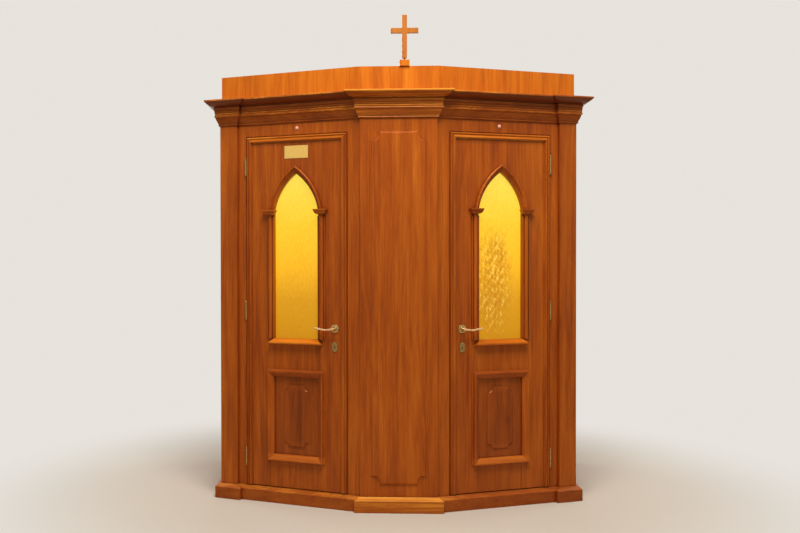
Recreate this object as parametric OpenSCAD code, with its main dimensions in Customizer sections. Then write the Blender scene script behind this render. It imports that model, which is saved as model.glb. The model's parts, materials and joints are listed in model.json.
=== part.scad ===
// Two-seat confessional booth: a centre panel with two wings turned back at an
// angle, each with an outward-opening door that has a lancet window.
// Millimetres. X runs to the right, Y from front to back, Z up.
// The origin is on the floor, in the middle of the booth's footprint.

/* [Plan] */
// Angle that each wing turns back from the centre panel
wing_angle = 20; // [12:1:28]
// Width of the centre panel
centre_w = 440; // [360:10:520]
// How far the centre panel stands in front of the wings where they meet
centre_step = 17; // [8:1:20]
// Thickness of the centre panel
centre_t = 22; // [20:1:30]
// Depth from the face of the centre panel to the back
body_d = 1320; // [1250:10:1500]
// Face width of the jamb on the lock side
lock_jamb_w = 74; // [64:1:90]
// Face width of the jamb on the hinge side
hinge_jamb_w = 53; // [45:1:70]
// Width of the pilaster at the end of each wing
pilaster_w = 110; // [90:5:140]
// How far the pilaster stands in front of the wing
pilaster_step = 22; // [8:1:26]
// Depth of the jambs and posts
frame_d = 70; // [64:1:90]

/* [Carcass] */
// Height of the plinth and of the floor inside
plinth_h = 85; // [70:5:110]
// How far the plinth stands out
plinth_out = 34; // [30:1:45]
// Height of the bevel along the plinth's top
plinth_bevel = 17; // [10:1:24]
// Thickness of the floor deck
floor_t = 24; // [18:1:30]
// Width of a floor bearer
bearer_w = 60; // [40:5:80]
// Height of the rail above each door
head_h = 198; // [180:2:240]
// Thickness of the roof deck
roof_t = 22; // [12:1:30]
// Thickness of the side walls
side_t = 18; // [12:1:25]
// How far the side walls lie behind the posts' outer face
side_recess = 4; // [1:1:8]
// Thickness of the back wall
back_t = 12; // [9:1:20]
// Height of the parapet above the cornice
parapet_h = 151; // [100:1:200]
// Thickness of the parapet boards
parapet_t = 20; // [16:1:25]
// How far the parapet lies behind the wing's face
parapet_setback = 21; // [10:1:30]

/* [Cornice] */
// Height of the cornice
cornice_h = 150; // [120:2:170]
// How far the cornice stands out
cornice_out = 89; // [80:1:92]

/* [Door] */
// Width of a door leaf
leaf_w = 645; // [620:5:720]
// Height of a door leaf
leaf_h = 2073; // [2040:5:2150]
// Thickness of a door leaf
leaf_t = 45; // [42:1:50]
// Gap between the leaf and its frame
door_gap = 3; // [2.5:0.5:4]
// Gap under the leaf
foot_gap = 5; // [4:1:8]
// Depth of the step in the frame that the leaf closes against
stop_w = 14; // [10:1:18]
// Half width of the window and of the lower panel's opening
window_half = 141; // [120:1:150]
// Height of the window's sill above the floor
sill_z = 970; // [930:2:980]
// Distance from the leaf's top down to the spring of the window's arch
spring_drop = 436; // [400:1:500]
// Rise of the pointed arch
arch_rise = 213; // [190:1:230]
// Radius of each side of the pointed arch
arch_r = 338; // [300:2:400]
// Thickness of the glass
glass_t = 5; // [4:1:6]
// Depth of the glass behind the leaf's face
glass_in = 21; // [12:1:24]
// Width of the step that the glass lies in
rebate_w = 10; // [8:1:12]
// Underside of the lower panel's opening
panel_lo = 285; // [270:5:320]
// Top of the lower panel's opening
panel_hi = 745; // [700:5:770]
// Depth of the lower panel behind the leaf's face
panel_in = 9; // [8:1:15]
// Thickness of the lower panel
panel_t = 16; // [12:1:20]

/* [Mouldings] */
// Width of the strip with the half-round shaft beside the window
column_w = 45; // [40:1:58]
// Diameter of the half-round shaft
shaft_d = 26; // [22:1:30]
// Width of the window's sill moulding
sill_w = 34; // [26:1:40]
// How far the window's sill stands out
sill_out = 34; // [20:1:38]
// Width of the moulding around the lower panel
bolection_w = 43; // [34:1:50]
// How far the shafts stand out
shaft_out = 17; // [12:1:22]
// How far the lower panel's moulding stands out
bolection_out = 26; // [18:1:30]
// Half width of the arch moulding at its spring
hood_half = 167; // [160:1:174]
// Height of the arch moulding above its spring
hood_rise = 256; // [248:1:264]
// Outer radius of the arch moulding
hood_r = 375; // [340:5:420]
// How far the arch moulding stands out
hood_out = 22; // [18:1:26]
// Width of the moulding along the leaf's edge
edge_w = 34; // [26:1:40]
// How far the edge moulding stands out
edge_out = 15; // [12:1:17]
// Height of the capitals
capital_h = 40; // [34:1:46]
// How far the capitals stand out
capital_out = 38; // [30:1:44]

/* [Fittings] */
// Height of the lever handles above the floor
lever_z = 1036; // [1000:2:1060]
// Distance of the handles from the leaf's edge
backset = 76; // [70:1:90]
// Distance from the lever down to the keyhole
key_drop = 105; // [85:1:110]
// Length of a lever
lever_l = 112; // [100:1:125]
// Radius of a lever's rose
rose_r = 25; // [22:1:28]
// Travel of the latch bolt
latch_throw = 12; // [10:1:13]
// Travel of the dead bolt
dead_throw = 14; // [10:1:16]
// Height of a hinge
hinge_h = 88; // [70:2:100]
// Distance of the lowest hinge's middle from the leaf's foot
hinge_foot = 168; // [150:1:250]
// Distance of the highest hinge's middle from the leaf's top
hinge_top = 175; // [150:1:250]
// Radius of a hinge's knuckle
knuckle_r = 6; // [5:0.5:7.5]
// Radius of a hinge's pin
pin_r = 2.5; // [2:0.5:4]
// Width of the blank door plate
plate_w = 150; // [100:5:200]
// Height of the blank door plate
plate_h = 74; // [40:2:80]

/* [Cross] */
// Height of the cross
cross_h = 244; // [200:2:300]
// Width of the cross
cross_w = 157; // [120:1:180]
// Width of the cross's two members
cross_t = 28; // [20:1:36]
// Distance of the cross from the middle of the booth
cross_x = 36; // [0:1:60]

/* [Interior] */
// Height of the seat above the floor inside
seat_h = 400; // [360:5:440]
// Depth of the seat
seat_d = 430; // [380:10:480]
// Height of the kneeling step above the floor inside
kneel_h = 150; // [120:5:200]
// Height of the arm shelf above the floor inside
shelf_h = 870; // [820:10:920]
// Depth of the arm shelf
shelf_d = 150; // [120:10:200]
// Depth of the kneeling step
step_d = 230; // [200:10:280]
// Distance of the kneeling step from the partition
step_gap = 250; // [220:10:300]
// Width of the kneeling step and the arm shelf
kneel_w = 540; // [460:20:700]
// Thickness of the seat cushion
cushion_t = 55; // [40:5:80]
// Thickness of the kneeling pad
pad_t = 48; // [30:2:60]
// Width of the screen in the partition
screen_w = 380; // [300:10:420]
// Height of the screen
screen_h = 420; // [300:10:440]
// Height of the screen's underside above the floor inside
screen_z = 960; // [940:10:1000]
// Distance of the screen's middle from the back wall
screen_back = 420; // [400:10:440]
// Radius of a ceiling lamp
lamp_r = 116; // [80:2:130]
// Drop of a ceiling lamp below the roof
lamp_drop = 70; // [50:2:80]
// Distance of the ceiling lamps from the booth's back
lamp_back = 570; // [400:10:650]

/* [Hidden] */
$fn = 48;

wood = "#a9541c";
wood_light = "#c8701f";
wood_dark = "#84401a";
brass = "#cda94e";
steel = "#9a9a96";
amber = [0.98, 0.80, 0.22, 0.75];

parapet_kink = 7;         // overlap of the parapet's middle board on each wing
joint_gap = 0.3;          // hairline between mitred or butted boards
seat_gap = 0.1;           // hairline behind a board on the carcass
fit = 0.4;                // clearance of a piece in its housing
run_fit = 0.06;           // radial clearance of a shaft in its bore
big = 4000;

// Places along a wing, measured outward from the centre panel
leaf_u0 = lock_jamb_w + door_gap;
leaf_u1 = leaf_u0 + leaf_w;
leaf_mid = leaf_u0 + leaf_w / 2;
hinge_jamb_u = leaf_u1 + door_gap;
pilaster_u = hinge_jamb_u + hinge_jamb_w;
wing_l = pilaster_u + pilaster_w;
hinge_u = leaf_u1 + door_gap / 2;
hinge_n = -knuckle_r - 1;
finial_h = 15;
stop_n = leaf_t + 1;

// Heights
leaf_z0 = plinth_h + foot_gap;
leaf_z1 = leaf_z0 + leaf_h;
head_z = leaf_z1 + door_gap;
roof_z = head_z + head_h;
frame_top = roof_z - joint_gap;
cornice_z = roof_z + roof_t;
parapet_z = cornice_z + parapet_h;
spring_z = leaf_z1 - spring_drop;
hinge_zs = [leaf_z0 + hinge_foot, leaf_z0 + leaf_h / 2 + 3, leaf_z1 - hinge_top];

// Plan of the booth's face
tan_w = tan(wing_angle);
cos_w = cos(wing_angle);
sin_w = sin(wing_angle);
face_y = (cornice_out - body_d) / 2;
back_y = face_y + body_d;
wing_x = centre_w / 2;
wing_y = face_y + centre_step;
function wing_xy(u, n) =
    [wing_x + u * cos_w - n * sin_w, wing_y + u * sin_w + n * cos_w];
corner_xy = wing_xy(wing_l, -pilaster_step);
half_w = corner_xy[0];
half_path = [
    [wing_x, face_y],
    [wing_x, wing_y],
    wing_xy(pilaster_u, 0),
    wing_xy(pilaster_u, -pilaster_step),
    corner_xy,
    [half_w, back_y]];
function flipped(path) =
    [for (i = [len(path) - 1:-1:0]) [-path[i][0], path[i][1]]];
face_path = concat(flipped(half_path), half_path);

// Line of the parapet's outer face, from the back to the middle
parapet_end = half_w - side_recess;
function parapet_at(x) = [x, wing_y + parapet_setback / cos_w + (x - wing_x) * tan_w];
parapet_half = [[parapet_end, back_y], parapet_at(parapet_end),
    parapet_at(wing_x + parapet_kink)];
parapet_mid_y = parapet_half[2][1] + parapet_t / 2;

// Corner posts, walls and partition
wall_x = half_w - side_recess - side_t;
wall_y = back_y - back_t;
post_back = frame_d + pilaster_step;
post_y = corner_xy[1] + post_back / cos_w;
partition_t = 24;
post_w = 60;
partition_y0 = face_y + centre_t;

// Arch of the window: centre of the left side's arc, from the middle
function arch_centre(half, rise, r) =
    let (chord = norm([half, rise]), depth = sqrt(r * r - chord * chord / 4))
    [depth * rise / chord - half / 2, rise / 2 - depth * half / chord];
arch_c = arch_centre(window_half, arch_rise, arch_r);
hood_c = arch_centre(hood_half, hood_rise, hood_r);

// Lock
spindle_u = leaf_u0 + backset;
key_z = lever_z - key_drop;
case_t = 16;
case_wall = 1.5;
case_n = (leaf_t - case_t) / 2;
case_l = backset + 28;
case_z0 = key_z - 50;
case_z1 = lever_z + 38;
forend_t = 3;
forend_w = 22;
forend_over = 18;
bolt_t = case_t - 2 * case_wall - 2 * fit;
latch_h = 22;
dead_h = 30;
dead_z = key_z + 12;
spindle_a = 8;
neck_r = 9;
rose_t = 8;
key_plate_t = 4;
strike_t = 2;

// Screen and seat
board_t = 22;
pad_inset = 14;
screen_member = 26;
screen_y = wall_y - screen_back;
screen_z0 = plinth_h + screen_z;
seat_z = plinth_h + seat_h;

// ---------------------------------------------------------------- helpers

module slab(lo, hi) {
    translate(lo) cube(hi - lo);
}

// Places its children on the right wing, or mirrored on the left one.
// There X runs outward along the face and Y into the booth.
module wing(side) {
    mirror([side < 0 ? 1 : 0, 0, 0])
        translate([wing_x, wing_y, 0])
            rotate([0, 0, wing_angle]) children();
}

module both_wings() {
    wing(-1) children();
    wing(1) children();
}

module both_sides() {
    children();
    mirror([1, 0, 0]) children();
}

// Draws on the face of a wing: X along it, Y up, and extrusions stand out.
module on_face() {
    rotate([90, 0, 0]) children();
}

function right_of(d) = [d[1], -d[0]];
function heading(a, b) = (b - a) / norm(b - a);
// How a corner of the path moves for each millimetre that a board stands out
function mitre(path, i) =
    let (n = len(path),
        a = right_of(heading(path[(i - 1 + n) % n], path[i])),
        b = right_of(heading(path[i], path[(i + 1) % n])))
    (a + b) / (1 + a * b);

// One board of a moulding that follows a path, mitred to its neighbours.
// The profile lists [distance out to the right of the path, height].
module run(path, i, profile, closed = false) {
    n = len(path);
    j = (i + 1) % n;
    d = heading(path[i], path[j]);
    a = path[i] + d * (closed || i > 0 ? joint_gap / 2 : 0);
    b = path[j] - d * (closed || j < n - 1 ? joint_gap / 2 : 0);
    ma = closed || i > 0 ? mitre(path, i) : right_of(d);
    mb = closed || j < n - 1 ? mitre(path, j) : right_of(d);
    reach = max([for (q = profile) q[0]]) + 1;
    top = max([for (q = profile) q[1]]) + 1;
    foot = min([for (q = profile) q[1]]) - 1;
    over = 2 * reach;
    intersection() {
        translate([path[i][0], path[i][1], 0])
            rotate([0, 0, atan2(d[1], d[0])])
                translate([-over, 0, 0]) rotate([90, 0, 90])
                    linear_extrude(norm(path[j] - path[i]) + 2 * over)
                        polygon([for (q = profile) [-q[0], q[1]]]);
        translate([0, 0, foot])
            linear_extrude(top - foot)
                polygon([a, b, b + reach * mb, a + reach * ma]);
    }
}

// Points of a quarter-round stretch from angle a0 to a1 about a centre
function arc(c, r, a0, a1, steps = 5) =
    [for (k = [0:steps]) let (a = a0 + (a1 - a0) * k / steps)
        c + r * [cos(a), sin(a)]];

// Board whose outer top edge is bevelled back to a narrow ledge
function bevelled(out, lo, hi, drop, ledge = 9) =
    concat([[seat_gap, lo], [out, lo]], arc([out - 3, hi - drop - 2], 3, 0, 55, 3),
        arc([ledge + 2, hi - 4], 2.5, 55, 0, 2), [[ledge + 3, hi - 3],
            [ledge, hi], [seat_gap, hi]]);

// Moulding with a wide inner splay, a round nose and a short outer fall
function splayed(w, out, nose = 4) =
    concat([[0, 0], [0, 2], [w - 16, out - 1]],
        arc([w - 11, out - nose], nose, 110, 0, 5),
        [[w - 7, 7], [w - 3, 6], [w, 3], [w, 0]]);

// Rectangle whose corners are cut by concave quarter circles with a step
module indented(w, h, notch, step) {
    r = norm([notch, step]);
    difference() {
        translate([-w / 2, -h / 2]) square([w, h]);
        for (sx = [-1, 1], sy = [-1, 1])
            translate([sx * w / 2, sy * h / 2])
                intersection() {
                    circle(r, $fn = 96);
                    translate([-notch, -notch]) square(2 * notch);
                }
    }
}

// Raised field: a low step with indented corners, then a bevelled one inside
module fielded(w, h, notch, step, lip, bevel) {
    rise = lip + bevel;
    r = norm([notch, step]);
    linear_extrude(lip) indented(w, h, notch, step);
    iw = w / 2 - bevel;
    ih = h / 2 - bevel;
    difference() {
        intersection() {
            translate([0, h, 0]) rotate([90, 0, 0]) linear_extrude(2 * h)
                polygon([[-iw, 0], [iw, 0], [iw, lip],
                    [iw - bevel, rise], [bevel - iw, rise], [-iw, lip]]);
            translate([-w, 0, 0]) rotate([90, 0, 90]) linear_extrude(2 * w)
                polygon([[-ih, 0], [ih, 0], [ih, lip],
                    [ih - bevel, rise], [bevel - ih, rise], [-ih, lip]]);
        }
        for (sx = [-1, 1], sy = [-1, 1])
            translate([sx * iw, sy * ih, 0]) intersection() {
                union() {
                    translate([0, 0, -1]) cylinder(h = lip + 1.01, r = r);
                    translate([0, 0, lip])
                        cylinder(h = bevel + 0.01, r1 = r, r2 = r + bevel);
                }
                translate([-notch, -notch, -1])
                    cube([2 * notch, 2 * notch, rise + 2]);
            }
    }
}

// Outline of the window, grown by a margin, from the middle of its spring
module lancet(grow, leg) {
    r = arch_r + grow;
    half = sqrt(r * r - arch_c[1] * arch_c[1]) - arch_c[0];
    intersection() {
        translate(arch_c) circle(r, $fn = 180);
        translate([-arch_c[0], arch_c[1]]) circle(r, $fn = 180);
        translate([-half, 0]) square([2 * half, r]);
    }
    translate([-half, -leg]) square([2 * half, leg]);
}

// Solid behind the window's outline, between two depths
module window_solid(grow, n0, n1) {
    translate([leaf_mid, n1, spring_z]) on_face()
        linear_extrude(n1 - n0) lancet(grow, spring_z - sill_z + grow);
}

// ---------------------------------------------------------------- carcass

module floor_deck() color(wood_dark)
    translate([0, 0, plinth_h - floor_t]) linear_extrude(floor_t)
        polygon(face_path);

module floor_bearers() color(wood_dark) {
    bearer_xs = [-0.8 * half_w, -0.42 * half_w, 0, 0.42 * half_w, 0.8 * half_w];
    bearer_y = corner_xy[1] + joint_gap;
    for (x = bearer_xs)
        slab([x - bearer_w / 2, bearer_y, 0],
            [x + bearer_w / 2, back_y, plinth_h - floor_t]);
}

module plinth_boards() color(wood_dark)
    for (i = [0:len(face_path) - 2])
        run(face_path, i, bevelled(plinth_out, 0, plinth_h, plinth_bevel));

module door_jambs() color(wood)
    both_wings() difference() {
        translate([0, 0, plinth_h]) linear_extrude(frame_top - plinth_h) {
            polygon([[0, 0], [lock_jamb_w, 0], [lock_jamb_w, stop_n],
                [lock_jamb_w + stop_w, stop_n], [lock_jamb_w + stop_w, frame_d],
                [frame_d * tan_w, frame_d]]);
            polygon([[hinge_jamb_u, 0], [pilaster_u, 0], [pilaster_u, frame_d],
                [hinge_jamb_u - stop_w, frame_d],
                [hinge_jamb_u - stop_w, stop_n], [hinge_jamb_u, stop_n]]);
        }
        strike_pocket();
        for (z = hinge_zs) hinge_plate(z, 1, fit);
    }

module head_rails() color(wood)
    both_wings() {
        slab([lock_jamb_w, 0, head_z], [hinge_jamb_u, stop_n, frame_top]);
        slab([lock_jamb_w + stop_w, stop_n, head_z - stop_w],
            [hinge_jamb_u - stop_w, frame_d, frame_top]);
    }

module corner_posts() color(wood)
    both_wings() translate([0, 0, plinth_h]) linear_extrude(frame_top - plinth_h)
        polygon([[pilaster_u, -pilaster_step], [wing_l, -pilaster_step],
            [wing_l + post_back * tan_w, frame_d], [pilaster_u, frame_d]]);

module centre_panel() color(wood_light) {
    field_w = 322;
    field_lo = 152;
    field_hi = leaf_z1 + 1;
    notch = 50;
    step = 9;
    slab([-wing_x, face_y, plinth_h], [wing_x, face_y + centre_t, frame_top]);
    translate([0, face_y, (field_lo + field_hi) / 2]) on_face()
        fielded(field_w, field_hi - field_lo, notch, step, 3, 6);
}

module side_walls() color(wood)
    both_sides() translate([0, 0, plinth_h])
        linear_extrude(frame_top - plinth_h) {
            x1 = wall_x + side_t;
            y0 = post_y + joint_gap;
            polygon([[wall_x, y0 - (half_w - wall_x) * tan_w],
                [x1, y0 - side_recess * tan_w],
                [x1, back_y], [wall_x, back_y]]);
        }

module back_wall() color(wood_dark)
    slab([-wall_x, wall_y, plinth_h], [wall_x, back_y, frame_top]);

module roof_deck() color(wood_dark)
    translate([0, 0, roof_z]) linear_extrude(roof_t) polygon(face_path);

// Section of the cornice, from its foot up to its lip, in a box 89 by 150:
// bead, long belly, torus, grooved fascia, bead and the overhanging crown
cornice_section = concat(
    [[seat_gap, 0], [5, 0]],
    arc([5, 6], 5.5, -70, 70, 4),
    arc([-116.8, 94], 150, -33, -17, 4),
    arc([27.5, 56.5], 5.5, -75, 75, 4),
    [[29, 63], [30, 74], [28, 75], [28, 76.5], [31, 77.5]],
    [[32, 87], [30, 88], [30, 89.5], [33, 90.5], [34, 99]],
    arc([33.5, 103.5], 4, -70, 80, 3),
    [[33.5, 109], [34, 112]],
    arc([17, 207], 96.4, -75, -45, 6),
    [[87.5, 140.5], [89, 142], [89, 148.5], [87.5, 150], [seat_gap, 150]]);

module cornice() color(wood_dark) {
    foot = cornice_z - cornice_h;
    profile = [for (q = cornice_section)
        [q[0] * cornice_out / 89, foot + q[1] * cornice_h / 150]];
    for (i = [0:len(face_path) - 2]) run(face_path, i, profile);
}

// Boards above the cornice, along the centre, the wings and the sides
module parapet_boards() color(wood_light) {
    path = concat([for (q = parapet_half) q], flipped(parapet_half));
    for (i = [0:len(path) - 2])
        run(path, i, [[0, cornice_z], [parapet_t, cornice_z],
            [parapet_t, parapet_z], [0, parapet_z]]);
}

// ---------------------------------------------------------------- interior

module partition_boards() color(wood) {
    y0 = partition_y0;
    y1 = wall_y;
    hole_y0 = screen_y - screen_w / 2;
    hole_y1 = screen_y + screen_w / 2;
    hole_z1 = screen_z0 + screen_h;
    t = partition_t / 2;
    for (y = [y0, y1 - post_w])
        slab([-post_w / 2, y, plinth_h], [post_w / 2, y + post_w, frame_top]);
    inner0 = y0 + post_w + joint_gap;
    inner1 = y1 - post_w - joint_gap;
    slab([-t, inner0, plinth_h], [t, inner1, screen_z0]);
    slab([-t, inner0, hole_z1], [t, inner1, frame_top]);
    slab([-t, inner0, screen_z0 + joint_gap],
        [t, hole_y0, hole_z1 - joint_gap]);
    slab([-t, hole_y1, screen_z0 + joint_gap],
        [t, inner1, hole_z1 - joint_gap]);
}

// Draws across the partition: X runs back along it, Y up
module on_partition() {
    translate([0, screen_y, screen_z0 + screen_h / 2]) rotate([90, 0, 90])
        children();
}

module screen_frame() color(wood_dark) {
    w = screen_w / 2 - fit;
    h = screen_h / 2 - fit;
    path = [[-w, h], [w, h], [w, -h], [-w, -h]];
    t = partition_t / 2 + 5;
    for (i = [0:3])
        on_partition() run(path, i,
            [[0, -t], [screen_member, -t], [screen_member, t], [0, t]], true);
}

// Two layers of crossed slats
module screen_grille() color(wood_dark) {
    w = screen_w - 2 * screen_member - 4 * fit;
    h = screen_h - 2 * screen_member - 4 * fit;
    slat = 9;
    pitch = 30;
    rows = ceil((w + h) / pitch / 2);
    on_partition() for (s = [-1, 1])
        translate([0, 0, s < 0 ? -4 : 0])
            linear_extrude(4)
                intersection() {
                    translate([-w / 2, -h / 2]) square([w, h]);
                    for (k = [-rows:rows])
                        rotate(45 * s) translate([-big / 2, k * pitch - slat / 2])
                            square([big, slat]);
                }
}

module seat() color(wood) {
    front = wall_y - seat_d;
    x0 = post_w / 2 + fit;
    x1 = wall_x - fit;
    under = seat_z - board_t;
    slab([x0, front, under], [x1, wall_y, seat_z]);
    slab([x0, front + 30, plinth_h], [x1, front + 30 + board_t, under]);
    slab([x0, wall_y - board_t, under - 50],
        [x1, wall_y, under - joint_gap]);
}

module seat_cushion() color("#6d1f1c")
    slab([post_w / 2 + fit + pad_inset, wall_y - seat_d + pad_inset,
            seat_z + joint_gap],
        [wall_x - fit - pad_inset, wall_y - pad_inset, seat_z + cushion_t]);

module kneeler() color(wood) {
    x1 = -partition_t / 2;
    x0 = x1 - step_gap - step_d;
    y0 = screen_y - kneel_w / 2;
    y1 = screen_y + kneel_w / 2;
    step_z = plinth_h + kneel_h;
    shelf_z = plinth_h + shelf_h;
    // step: top board on two cheeks
    slab([x0, y0, step_z - board_t], [x0 + step_d, y1, step_z]);
    for (y = [y0 + 10, y1 - 10 - board_t])
        slab([x0 + 10, y, plinth_h],
            [x0 + step_d - 10, y + board_t, step_z - board_t]);
    // arm shelf on two brackets
    slab([x1 - shelf_d, y0, shelf_z - board_t], [x1, y1, shelf_z]);
    arm = shelf_d - 30;
    for (y = [y0 + 60, y1 - 60 - board_t])
        translate([x1, y, shelf_z - board_t])
            rotate([-90, 0, 0]) linear_extrude(board_t)
                polygon([[0, 0], [-arm, 0], [-arm, 20], [-20, arm], [0, arm]]);
}

module kneeler_pad() color("#6d1f1c") {
    x0 = -partition_t / 2 - step_gap - step_d;
    z = plinth_h + kneel_h;
    slab([x0 + pad_inset, screen_y - kneel_w / 2 + pad_inset, z + joint_gap],
        [x0 + step_d - pad_inset, screen_y + kneel_w / 2 - pad_inset,
            z + pad_t]);
}

// Shallow bowls under the roof, with a short upright rim
module ceiling_lamps() color("#f6efdc") {
    bowl = lamp_drop - 8;
    r = (lamp_r * lamp_r + bowl * bowl) / (2 * bowl);
    both_sides()
        translate([half_w / 2, back_y - lamp_back, roof_z - 0.2])
            intersection() {
                translate([0, 0, r - lamp_drop]) sphere(r, $fn = 40);
                translate([0, 0, -lamp_drop])
                    cylinder(h = lamp_drop, r = lamp_r, $fn = 40);
            }
}

// ---------------------------------------------------------------- top

module cross() color(wood) {
    y = parapet_mid_y;
    z = parapet_z + 34 + 12;
    bar_z = z + cross_h * 0.64;
    depth = 22;
    difference() {
        union() {
            slab([cross_x - cross_t / 2, y - depth / 2, z],
                [cross_x + cross_t / 2, y + depth / 2, z + cross_h]);
            slab([cross_x - cross_w / 2, y - depth / 2, bar_z - cross_t / 2],
                [cross_x + cross_w / 2, y + depth / 2, bar_z + cross_t / 2]);
        }
        translate([cross_x, y, z - 1]) cylinder(h = 31, r = 5 + run_fit);
    }
}

module cross_base() color(wood) {
    y = parapet_mid_y;
    translate([cross_x - 28, y - 20, parapet_z]) cube([56, 40, 34]);
    translate([cross_x, y, parapet_z + 30]) cylinder(h = 44, r = 5);
}

module signal_lamps() color("#f4d9d0")
    both_wings()
        translate([leaf_mid - 8, 0, head_z + 38]) rotate([90, 0, 0])
            intersection() {
                translate([0, 0, -2]) sphere(11);
                cylinder(h = 20, r = 20);
            }

// ---------------------------------------------------------------- hinges

// Plate of a hinge in the leaf's edge (side 0) or in the jamb (side 1)
module hinge_plate(z, side, grow) {
    plate_t = 2;
    u = side == 0 ? leaf_u1 - plate_t : hinge_jamb_u;
    slab([u - (side == 0 ? grow : 0), -0.2, z - hinge_h / 2 - grow],
        [u + plate_t + (side == 0 ? 0 : grow), 32 + grow,
            z + hinge_h / 2 + grow]);
}

module knuckle(z0, z1) {
    translate([hinge_u, hinge_n, z0]) cylinder(h = z1 - z0, r = knuckle_r);
}

// Turned tip at the upper (end 1) or lower (end -1) end of a hinge
module finial(z, end) {
    translate([hinge_u, hinge_n, z]) mirror([0, 0, end < 0 ? 1 : 0])
        rotate_extrude() polygon(concat(
            [[0, -1], [knuckle_r - 1, -1], [knuckle_r - 1, 0.5], [3, 2],
                [3, 3.5]],
            arc([1.2, 7.5], 3.6, -50, 60, 4),
            [[1.5, finial_h - 1.5], [0, finial_h]]));
}

// Short web that joins a knuckle to its plate
module hinge_web(side, z0, z1) {
    u = side == 0 ? leaf_u1 - 2 : hinge_jamb_u;
    slab([u, hinge_n, z0], [u + 2, 1, z1]);
}

module hinge_posts() color(brass)
    both_wings() for (z = hinge_zs) {
        hinge_plate(z, 1, 0);
        hinge_web(1, z - hinge_h / 2, z - joint_gap);
        knuckle(z - hinge_h / 2, z - joint_gap);
        finial(z - hinge_h / 2, -1);
        translate([hinge_u, hinge_n, z - hinge_h / 2])
            cylinder(h = hinge_h - 4, r = pin_r);
    }

module hinge_leaves() color(brass)
    for (z = hinge_zs) difference() {
        union() {
            hinge_plate(z, 0, 0);
            hinge_web(0, z, z + hinge_h / 2);
            knuckle(z, z + hinge_h / 2);
            finial(z + hinge_h / 2, 1);
        }
        translate([hinge_u, hinge_n, z - 1])
            cylinder(h = hinge_h / 2 - 2, r = pin_r + run_fit);
    }

// ---------------------------------------------------------------- door

module lock_mortise() {
    slab([leaf_u0 - 1, case_n - fit, case_z0 - fit],
        [leaf_u0 + case_l + fit, case_n + case_t + fit, case_z1 + fit]);
    slab([leaf_u0 - 1, (leaf_t - forend_w) / 2 - fit,
            case_z0 - forend_over - fit],
        [leaf_u0 + forend_t, (leaf_t + forend_w) / 2 + fit,
            case_z1 + forend_over + fit]);
    translate([spindle_u, -1, lever_z]) rotate([-90, 0, 0])
        cylinder(h = leaf_t + 2, r = neck_r + 3);
    key_slot(2);
}

// Keyhole right through the leaf
module key_slot(grow) {
    translate([spindle_u, -big / 8, key_z]) rotate([-90, 0, 0])
        cylinder(h = big / 4, r = 3.5 + grow);
    slab([spindle_u - 1.5 - grow, -big / 8, key_z - 12 - grow],
        [spindle_u + 1.5 + grow, big / 8, key_z]);
}

module panel_groove() {
    g = 9;
    slab([leaf_mid - window_half - g, panel_in, panel_lo - g],
        [leaf_mid + window_half + g, panel_in + panel_t + fit, panel_hi + g]);
}

module leaf_cuts() {
    window_solid(0, -1, leaf_t + 1);
    window_solid(rebate_w, glass_in, leaf_t + 1);
    slab([leaf_mid - window_half, -1, panel_lo],
        [leaf_mid + window_half, leaf_t + 1, panel_hi]);
    panel_groove();
}

module stiles() color(wood) difference() {
    union() {
        slab([leaf_u0, 0, leaf_z0],
            [leaf_mid - window_half, leaf_t, leaf_z1]);
        slab([leaf_mid + window_half, 0, leaf_z0], [leaf_u1, leaf_t, leaf_z1]);
    }
    leaf_cuts();
    lock_mortise();
    for (z = hinge_zs) hinge_plate(z, 0, fit);
}

module rails() color(wood) difference() {
    union() for (z = [[leaf_z0, panel_lo], [panel_hi, sill_z],
            [spring_z - capital_h, leaf_z1]])
        slab([leaf_mid - window_half + joint_gap, 0, z[0]],
            [leaf_mid + window_half - joint_gap, leaf_t, z[1]]);
    leaf_cuts();
}

module lower_panel() color(wood_dark) {
    g = 8;
    field_w = 170;
    field_h = 371;
    notch = 31;
    step = 4;
    mid_z = (panel_lo + panel_hi) / 2 - 3;
    slab([leaf_mid - window_half - g, panel_in, panel_lo - g],
        [leaf_mid + window_half + g, panel_in + panel_t, panel_hi + g]);
    translate([leaf_mid, panel_in, mid_z]) on_face()
        fielded(field_w, field_h, notch, step, 2, 5);
}

module panel_moulding() color(wood) {
    h = window_half;
    path = [[leaf_mid - h, panel_hi], [leaf_mid - h, panel_lo],
        [leaf_mid + h, panel_lo], [leaf_mid + h, panel_hi]];
    for (i = [0:3])
        on_face() run(path, i, splayed(bolection_w, bolection_out), true);
}

module glass() color(amber)
    window_solid(rebate_w - 2, glass_in, glass_in + glass_t);

module glass_bead() color(wood) difference() {
    window_solid(rebate_w - fit, glass_in + glass_t, glass_in + glass_t + 12);
    window_solid(-3, glass_in + glass_t - 1, glass_in + glass_t + 13);
}

// Arch moulding, turned about the centre of each side's outer arc
module hood_mould() color(wood) difference() {
    for (s = [-1, 1])
        translate([leaf_mid, 0, spring_z]) intersection() {
            translate([-s * hood_c[0], 0, hood_c[1]]) rotate([90, 0, 0])
                rotate_extrude($fn = 180) polygon([[hood_r - 70, 0],
                    [hood_r - 70, 2], [hood_r - 27, 2], [hood_r - 26, 5],
                    [hood_r - 21, 5], [hood_r - 16, 8],
                    [hood_r - 12, hood_out - 7], [hood_r - 11, hood_out - 2],
                    [hood_r - 9, hood_out], [hood_r - 4, hood_out],
                    [hood_r - 1, hood_out - 3], [hood_r, hood_out - 8],
                    [hood_r, 0]]);
            slab([s > 0 ? joint_gap / 2 : -big / 4, -big / 8, joint_gap],
                [s > 0 ? big / 4 : -joint_gap / 2, big / 8, big / 4]);
        }
    window_solid(0, -hood_out - 1, 1);
}

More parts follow.
